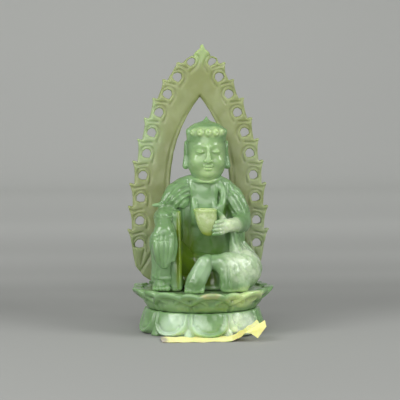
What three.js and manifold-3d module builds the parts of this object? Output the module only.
// A carved jade figurine: a seated figure with an alms bowl, on a two-tier lotus pedestal,
// in front of a pierced flame mandorla that stands in a slot in the upper tier.
// Millimetres, +Z up. The figure faces -Y, its right hand side is -X,
// and the origin is the middle of the pedestal's flat underside.

import * as THREE from "three";
import { ConvexGeometry } from "three/addons/geometries/ConvexGeometry.js";
import { mergeVertices } from "three/addons/utils/BufferGeometryUtils.js";
import Module from "manifold-3d";

const wasm = await Module();
wasm.setup();

// Driving dimensions
const GAP = 0.3; // clearance between neighbouring pieces
const DEPTH = 0.86; // the pedestal's depth over its width
const PEDESTAL_TURN = 0.044; // how far round the middle petals are from facing straight ahead
const FOOT = { radius: 39.6, height: 16.8, lobes: 9, lobe: [14.4, 5.6, 12], lobeHeight: 4.6 };
const SEAT = {
  petals: 9, // in each of the two rows
  waist: 36,
  rim: 43,
  floor: 30,
  petal: [15.2, 4.2, 11.5],
  petalTilt: 0.67,
  outerRow: { radius: 41.2, height: 24.2 },
  innerRow: { radius: 39.8, height: 25.4 },
};
const DOWEL = { radius: 3, reach: 7 };
const MANDORLA = {
  front: 20, // Y of its front face
  thickness: 6,
  bottom: SEAT.floor + GAP,
  top: 198,
  flames: 10, // flame tongues on each side, each with an eye pierced under its tip
  firstEye: 58.6, // heights of the lowest and the highest eye
  lastEye: 186,
  eyeRadius: 2.8,
  eyeLine: { halfWidth: 41.3, widestAt: 50, taper: 3, apex: 195 }, // the arch that the eyes stand on
  border: 6.5, // from the middle of an eye out to the edge
  tipRise: 9, // how far a flame's tip is above its eye
  tipOut: 2, // how far a tip stands out past the edge
  bud: [[4.6, 188.6], [6.1, 190.6], [4.4, 193], [1.6, 195.4]], // outline of the bud at the point
  aside: -0.8, // how far the slab stands to one side
  lean: { from: 178, to: 188, by: 2.8 }, // how far the bud leans to the other side, between two heights
  opening: { sill: 58, apex: 161.6, halfWidth: 21.5, widestAt: 80, taper: 3, aside: 1.1 },
  tenon: { halfWidth: 15, depth: 7 },
};
const PAPER = {
  thickness: 0.4,
  front: -50,
  back: -33,
  rise: [[-31, 0], [10, 0], [18, 2.8], [26, 7.4], [37, 13.2]], // [X, Z] along the strip
  flap: [[25, 7], [37, 13.4], [38.6, 11], [30.2, 3.9]], // [X, Z] corners of the end that is folded over
};
const FIGURE_ASIDE = 2; // how far the figure sits towards +X from the pedestal's middle

// The figure's joints and extremities, from which its limbs are made, before it is moved aside
const body = {
  pelvis: [0, 3, 42],
  chest: [0, 1, 83],
  neck: [0.6, 0, 103],
  head: [0.8, -3, 126],
  rightShoulder: [-20, 2, 90],
  rightElbow: [-27, 0, 80],
  rightWrist: [-31, -16, 79],
  rightFingers: [-30.5, -27.5, 51],
  rightHip: [-14, 4, 42],
  rightKnee: [-29.5, -15, 67],
  rightAnkle: [-31.5, -14, 39],
  rightToes: [-32, -20.5, 33.8],
  leftShoulder: [18, 2, 91],
  leftElbow: [24, -5, 75.5],
  leftWrist: [15, -21, 75.5],
  leftFingers: [2, -27.5, 71],
  leftHip: [12, 4, 42],
  leftKnee: [25.5, -13, 45],
  leftAnkle: [-1.5, -24, 51],
  leftToes: [-13, -31, 34.5],
  bowl: [-2.3, -25, 78],
};

// Solids, made from three.js geometry

function solid(geometry) {
  const bare = geometry.index ? geometry.toNonIndexed() : geometry;
  const places = new THREE.BufferGeometry();
  places.setAttribute("position", bare.getAttribute("position"));
  const merged = mergeVertices(places, 1e-3);
  return new wasm.Manifold(
    new wasm.Mesh({
      numProp: 3,
      vertProperties: merged.attributes.position.array,
      triVerts: new Uint32Array(merged.index.array),
    }),
  );
}

const union = (solids) => solids.reduce((all, next) => all.add(next));

// An ellipsoid with radii along X, Y and Z, turned about its own centre.
function ball(centre, radii, grow = 0, turn = [0, 0, 0], sides = 12) {
  const geometry = new THREE.SphereGeometry(1, sides, Math.round(sides * 0.6));
  geometry.rotateX(Math.PI / 2);
  geometry.scale(...radii.map((radius) => radius + grow));
  geometry.applyMatrix4(new THREE.Matrix4().makeRotationFromEuler(new THREE.Euler(...turn, "ZYX")));
  geometry.translate(...centre);
  return solid(geometry);
}

// The convex hull of a row of spheres, each given as [centre, radius].
function hull(spheres, grow = 0) {
  const points = [];
  for (const [centre, radius] of spheres) {
    const sphere = new THREE.IcosahedronGeometry(radius + grow, 1);
    sphere.translate(...centre);
    const places = sphere.getAttribute("position");
    for (let i = 0; i < places.count; i++) {
      points.push(new THREE.Vector3().fromBufferAttribute(places, i));
    }
  }
  return solid(new ConvexGeometry(points));
}

const limb = (from, to, start, end, grow) => hull([[from, start], [to, end]], grow);

// A box between two corners.
function block(low, high) {
  const size = high.map((value, i) => value - low[i]);
  const geometry = new THREE.BoxGeometry(...size);
  geometry.translate(...low.map((value, i) => value + size[i] / 2));
  return solid(geometry);
}

// A turned solid, squeezed to the pedestal's oval. The profile is [radius, height] pairs.
function turned(profile, sides, depth = 1, centre = [0, 0]) {
  const points = profile.map(([radius, height]) => new THREE.Vector2(radius, height));
  const geometry = new THREE.LatheGeometry(points, sides);
  geometry.rotateX(Math.PI / 2);
  geometry.scale(1, depth, 1);
  geometry.translate(centre[0], centre[1], 0);
  return solid(geometry);
}

const above = (height) => block([-90, -90, height], [90, 90, 250]);
const below = (height) => block([-90, -90, -10], [90, 90, height]);

// Pedestal

// Calls make(angle, x, y) at each petal's place on an oval ring of the given radius.
function petalRing(count, radius, offset, make) {
  return Array.from({ length: count }, (_, i) => {
    const angle = -Math.PI / 2 + PEDESTAL_TURN + ((i + offset) * 2 * Math.PI) / count;
    return make(angle, radius * Math.cos(angle), radius * DEPTH * Math.sin(angle));
  });
}

// A round dowel between two heights.
function dowel(from, to, grow = 0) {
  const radius = DOWEL.radius + grow;
  return turned([[0, from - grow], [radius, from - grow], [radius, to + grow], [0, to + grow]], 16);
}

const seatDowel = (grow) => dowel(FOOT.height - DOWEL.reach, FOOT.height + DOWEL.reach, grow);
const figureDowel = (grow) => dowel(SEAT.floor - DOWEL.reach + 2, SEAT.floor + DOWEL.reach, grow);

function lotusFoot() {
  const { radius, height } = FOOT;
  const shoulder = [[radius, 4], [SEAT.waist + 1, height - 1], [SEAT.waist, height]];
  const profile = [[0, 0], [radius, 0], ...shoulder, [0, height]];
  const core = turned(profile, 27, DEPTH);
  const lobes = petalRing(FOOT.lobes, radius - 2, 0, (angle, x, y) =>
    ball([x, y, FOOT.lobeHeight], FOOT.lobe, 0, [0, 0, angle + Math.PI / 2], 10));
  return union([core, ...lobes]).intersect(above(0)).intersect(below(height));
}

function lotusSeat() {
  const low = FOOT.height + GAP;
  const core = turned([[0, low], [SEAT.waist, low], [SEAT.rim, SEAT.floor], [0, SEAT.floor]], 30, DEPTH);
  const ring = (radius, offset, height, tilt) => petalRing(SEAT.petals, radius, offset, (angle, x, y) =>
    ball([x, y, height], SEAT.petal, 0, [tilt, 0, angle + Math.PI / 2], 10));
  const outer = ring(SEAT.outerRow.radius, 0, SEAT.outerRow.height, SEAT.petalTilt);
  const inner = ring(SEAT.innerRow.radius, 0.5, SEAT.innerRow.height, SEAT.petalTilt * 0.75);
  const petals = union([...outer, ...inner]).subtract(hollowAboveSeat());
  return union([core, petals]).intersect(above(low));
}

// The space inside the ring of petals, over the floor that the figure sits on.
function hollowAboveSeat(inset = 0) {
  const low = SEAT.floor + inset;
  const radius = SEAT.rim - inset;
  const profile = [[0, low], [radius, low], [radius + 27, low + 30], [radius + 27, 250], [0, 250]];
  return turned(profile, 30, DEPTH);
}

// Mandorla

// Half the width of a pointed arch at a height: widest at widestAt, and nothing at the apex.
function archHalfWidth(height, { halfWidth, widestAt, taper, apex }) {
  const share = Math.max(0, (height - widestAt) / (apex - widestAt));
  return halfWidth * (1 - share ** taper);
}

const edgeHalfWidth = (height) => archHalfWidth(height, MANDORLA.eyeLine) + MANDORLA.border;

// A point of the mandorla, moved with the slab's stand to one side and its bud's lean to the other.
function leaning([x, z]) {
  const { from, to, by } = MANDORLA.lean;
  const share = Math.min(1, Math.max(0, (z - from) / (to - from)));
  return [x + MANDORLA.aside + by * share, z];
}

// The closed outline, as Vector2s, whose right half is given from low to high.
function mirrored(right, top) {
  const left = right.map(([x, z]) => [-x, z]).reverse();
  return [...right, top, ...left].map((point) => new THREE.Vector2(...leaning(point)));
}

// Heights of the flames' eyes, closer together where the arch leans in towards its point.
const eyeHeights = Array.from({ length: MANDORLA.flames }, (_, i) => {
  const share = i / (MANDORLA.flames - 1);
  return MANDORLA.firstEye + (MANDORLA.lastEye - MANDORLA.firstEye) * (1.15 * share - 0.15 * share ** 3);
});

function mandorlaOutline() {
  const right = [[30, MANDORLA.bottom], [37, 35], [43, 42]];
  for (const eye of eyeHeights.slice(0, -1)) {
    const tip = eye + MANDORLA.tipRise;
    right.push([edgeHalfWidth(tip - 5), tip - 5], [edgeHalfWidth(tip) + MANDORLA.tipOut, tip + 1]);
    right.push([edgeHalfWidth(tip + 1) - 1, tip + 1.2]);
  }
  right.push([10.4, 188.6], [7, 190], ...MANDORLA.bud);
  return mirrored(right, [0, MANDORLA.top]);
}

function openingOutline(opening) {
  const steps = 9;
  const right = Array.from({ length: steps }, (_, i) => {
    const share = Math.sin((i / steps) * (Math.PI / 2));
    const height = opening.sill + (opening.apex - opening.sill) * share;
    return [archHalfWidth(height, opening), height];
  });
  return mirrored(right, [0, opening.apex]).map((point) => point.setX(point.x + opening.aside));
}

// The middles of the eyes on both sides.
function flameEyes() {
  return eyeHeights.flatMap((height) => {
    const x = archHalfWidth(height, MANDORLA.eyeLine);
    return [leaning([x, height]), leaning([-x, height])];
  });
}

// An upright slab from an outline of [X, Z] points, with its front face at the given Y.
function slab(outline, holes, thickness, front, grow = 0) {
  const shape = new THREE.Shape(outline);
  shape.holes = holes.map((points) => new THREE.Path(points));
  const geometry = new THREE.ExtrudeGeometry(shape, { depth: thickness + 2 * grow, bevelEnabled: false });
  geometry.rotateX(Math.PI / 2);
  geometry.translate(0, front + thickness + grow, 0);
  return solid(geometry);
}

function mandorla() {
  const eyes = flameEyes().map(([x, z]) =>
    new THREE.Path().absarc(x, z, MANDORLA.eyeRadius, 0, 2 * Math.PI).getPoints(8).slice(1));
  const holes = [openingOutline(MANDORLA.opening), ...eyes];
  const plate = slab(mandorlaOutline(), holes, MANDORLA.thickness, MANDORLA.front);
  return plate.add(mandorlaTenon());
}

function mandorlaTenon(grow = 0) {
  const { halfWidth, depth } = MANDORLA.tenon;
  return block(
    [-halfWidth - grow, MANDORLA.front - grow, MANDORLA.bottom - depth - grow],
    [halfWidth + grow, MANDORLA.front + MANDORLA.thickness + grow, MANDORLA.bottom + 2],
  );
}

// The room that the mandorla needs in the seat and the robe as it is lifted out.
function mandorlaWay() {
  const halfWidth = MANDORLA.eyeLine.halfWidth + MANDORLA.border + MANDORLA.tipOut + 2;
  const front = MANDORLA.front - GAP;
  const back = MANDORLA.front + MANDORLA.thickness + GAP;
  return mandorlaTenon(GAP).add(block([-halfWidth, front, SEAT.floor], [halfWidth, back, 220]));
}

// Figure: each piece is a function of how much it is grown, so that its neighbour can be cut to clear it

const pieces = {
  alms_bowl(grow) {
    const [x, y, z] = body.bowl;
    const rim = z + 9.2 + grow;
    const base = z - 9.2 - grow;
    const outside = [[0, base], [4 + grow, base + 1.6], [6.6 + grow, z - 1.6], [8 + grow, rim]];
    const inside = grow ? [[0, rim]] : [[6.4, rim], [5.4, z + 0.5], [0, z - 1]];
    return turned([...outside, ...inside], 18, 1, [x, y]);
  },
  head(grow) {
    const [x, y, z] = body.head;
    const sides = [-1, 1];
    const face = hull(sides.flatMap((side) => [
      [[x + side * 3.2, y - 1, z + 4], 10],
      [[x + side * 3, y - 4, z - 10], 9.2],
    ]), grow);
    const hair = ball([x, y + 2, z + 7.4], [13.8, 14.6, 12], grow, [0, 0, 0], 16);
    const crown = ball([x, y + 2, z + 14], [10.5, 10.5, 6], grow, [0, 0, 0], 10);
    const finial = limb([x, y + 2, z + 18.6], [x, y + 2, z + 22], 2.2, 0.6, grow);
    const ears = sides.map((side) =>
      limb([x + side * 12.8, y + 2, z + 4], [x + side * 13, y + 0.5, z - 10], 2.3, 2.6, grow));
    const neck = limb([x, y + 3, z - 2], body.neck, 10, 8, grow);
    return union([face, hair, crown, finial, ...ears, neck]);
  },
  left_hand(grow) {
    const palm = limb(body.leftWrist, [8, -25, 73], 4.4, 4, grow);
    const fingers = limb([8, -26, 73], body.leftFingers, 3.6, 2.4, grow);
    const thumb = limb([9.5, -23, 76], [7.5, -23.5, 84], 2.8, 2, grow);
    return union([palm, fingers, thumb]);
  },
  right_hand(grow) {
    const palm = hull([[body.rightWrist, 5.6], [[-34.5, -25, 71], 4.4], [[-27, -25, 71], 4.4]], grow);
    const [x, y, z] = body.rightFingers;
    const knuckles = [[[-34.5, -26, 66], 4.2], [[-26.5, -26, 62], 4.6]];
    const tips = [[[x - 3, y, z], 3], [[x + 2.6, y, z], 3]];
    const fingers = hull([...knuckles, ...tips], grow);
    return union([palm, fingers]);
  },
  right_foot(grow) {
    const [x, y, z] = body.rightToes;
    return hull([[body.rightAnkle, 6], [[x - 3.6, y + 1, z], 3.4], [[x + 3.6, y - 1, z], 3.4]], grow);
  },
  left_foot(grow) {
    const instep = [[-12, -29, 39], 4.8];
    return hull([[body.leftAnkle, 5.6], instep, [body.leftToes, 3.8], [[-8.5, -32, 34.5], 3.4]], grow);
  },
  right_sleeve(grow) {
    const top = [[[-20, -2, 84], 2.6], [[-20.4, -19, 80], 2.4]];
    const bottom = [[[-20.5, -4, 33], 3], [[-20, -21, 33], 3]];
    return hull([...top, ...bottom], grow);
  },
  right_arm(grow) {
    const upper = limb(body.rightShoulder, body.rightElbow, 10, 8.8, grow);
    const fore = limb(body.rightElbow, body.rightWrist, 7.8, 6.2, grow);
    const corner = limb([-27, -3, 88], [-35.6, -6, 87.5], 4, 0.8, grow);
    return union([upper, fore, corner]);
  },
  left_arm(grow) {
    const upper = limb(body.leftShoulder, body.leftElbow, 10.6, 7.8, grow);
    const fore = limb(body.leftElbow, body.leftWrist, 7.2, 5.2, grow);
    return union([upper, fore]);
  },
  left_sleeve(grow) {
    const top = [[[17.5, -17, 69], 3], [[23.5, -8, 68], 4.2]];
    const bottom = [[[19, -17, 55], 4.5], [[28.5, -9, 53], 5.5]];
    return hull([...top, ...bottom], grow);
  },
  right_leg(grow) {
    const shin = hull([[body.rightKnee, 9.2], [[-29, -13, 42], 9.2]], grow);
    const thigh = limb(body.rightKnee, body.rightHip, 9, 12, grow);
    const hem = hull([[[-29, -12, 41], 9.4], [[-33.5, -7, 36], 5.4], [[-28, -14, 36], 6]], grow);
    return union([shin, thigh, hem]);
  },
  left_leg(grow) {
    const knee = ball(body.leftKnee, [13, 15, 14], grow);
    const thigh = limb(body.leftKnee, body.leftHip, 12, 12, grow);
    const shin = limb([22, -16, 47], [6.5, -22, 49], 11, 8.5, grow);
    const hem = hull([[[10.5, -25, 50], 6], [[12.5, -26.5, 36], 6], [[21, -25, 36], 6]], grow);
    return union([knee, thigh, shin, hem]);
  },
  torso(grow) {
    const sides = [-1, 1];
    const flanks = sides.flatMap((side) => [[[side * 16.5, 3, 90], 10.4], [[side * 13, 6, 58], 12]]);
    const trunk = hull([[body.neck, 7], ...flanks], grow);
    const chest = ball(body.chest, [18, 12.4, 14], grow);
    return union([trunk, chest]);
  },
  robe_lap(grow) {
    const seat = ball(body.pelvis, [34, 16, 15], grow);
    const front = hull([[[-8, -12, 38], 9], [[10, -12, 38], 9]], grow);
    return union([seat, front]);
  },
};

// The largest of the bodies that a cut leaves, without its slivers.
function largest(made) {
  return made.decompose().reduce((best, next) => (next.volume() > best.volume() ? next : best));
}

function figurePieces() {
  const made = {};
  const room = hollowAboveSeat(GAP).subtract(mandorlaWay()).subtract(figureDowel(GAP));
  const aside = (shape) => shape.translate([FIGURE_ASIDE, 0, 0]);
  const earlier = [];
  for (const [name, shape] of Object.entries(pieces)) {
    let piece = aside(shape(0)).intersect(room);
    for (const cutter of earlier) piece = piece.subtract(cutter);
    made[name] = largest(piece);
    earlier.push(aside(shape(GAP)));
  }
  return made;
}

// Paper label: a strip that lies under the pedestal's front edge, rises at the right and folds over

function paperLabel(grow = 0) {
  const { rise, flap, front, back } = PAPER;
  const thickness = PAPER.thickness + grow;
  const outline = (points) => points.map(([x, z]) => new THREE.Vector2(x, z));
  const profile = [...rise, ...rise.map(([x, z]) => [x, z + thickness]).reverse()];
  const strip = slab(outline(profile), [], back - front, front, grow);
  if (grow) return strip;
  return strip.add(slab(outline(flap), [], thickness, front));
}

// Materials and the assembly

const stone = (color, roughness) => new THREE.MeshStandardMaterial({ color, roughness, metalness: 0 });
const jade = stone(0x7fab78, 0.25);
const paleJade = stone(0xa9c07c, 0.3);
const oliveJade = stone(0x98a66c, 0.35);
const bamboo = stone(0xc2a36b, 0.7);
const paper = stone(0xf2e88a, 0.85);

const figurine = new THREE.Group();

function place(name, made, material) {
  const { vertProperties, triVerts } = made.getMesh();
  const geometry = new THREE.BufferGeometry();
  geometry.setAttribute("position", new THREE.BufferAttribute(vertProperties, 3));
  geometry.setIndex(new THREE.BufferAttribute(triVerts, 1));
  const mesh = new THREE.Mesh(geometry, material);
  mesh.name = name;
  figurine.add(mesh);
}

place("lotus_foot", largest(lotusFoot().subtract(seatDowel(GAP)).subtract(paperLabel(GAP))), jade);
const seatCuts = union([seatDowel(GAP), figureDowel(GAP), mandorlaWay()]);
place("lotus_seat", largest(lotusSeat().subtract(seatCuts)), jade);
place("mandorla", mandorla(), oliveJade);
place("seat_dowel", seatDowel(0), bamboo);
place("figure_dowel", figureDowel(0), bamboo);
place("paper_label", paperLabel(), paper);
for (const [name, made] of Object.entries(figurePieces())) {
  place(name, made, name === "alms_bowl" ? paleJade : jade);
}

export default figurine;
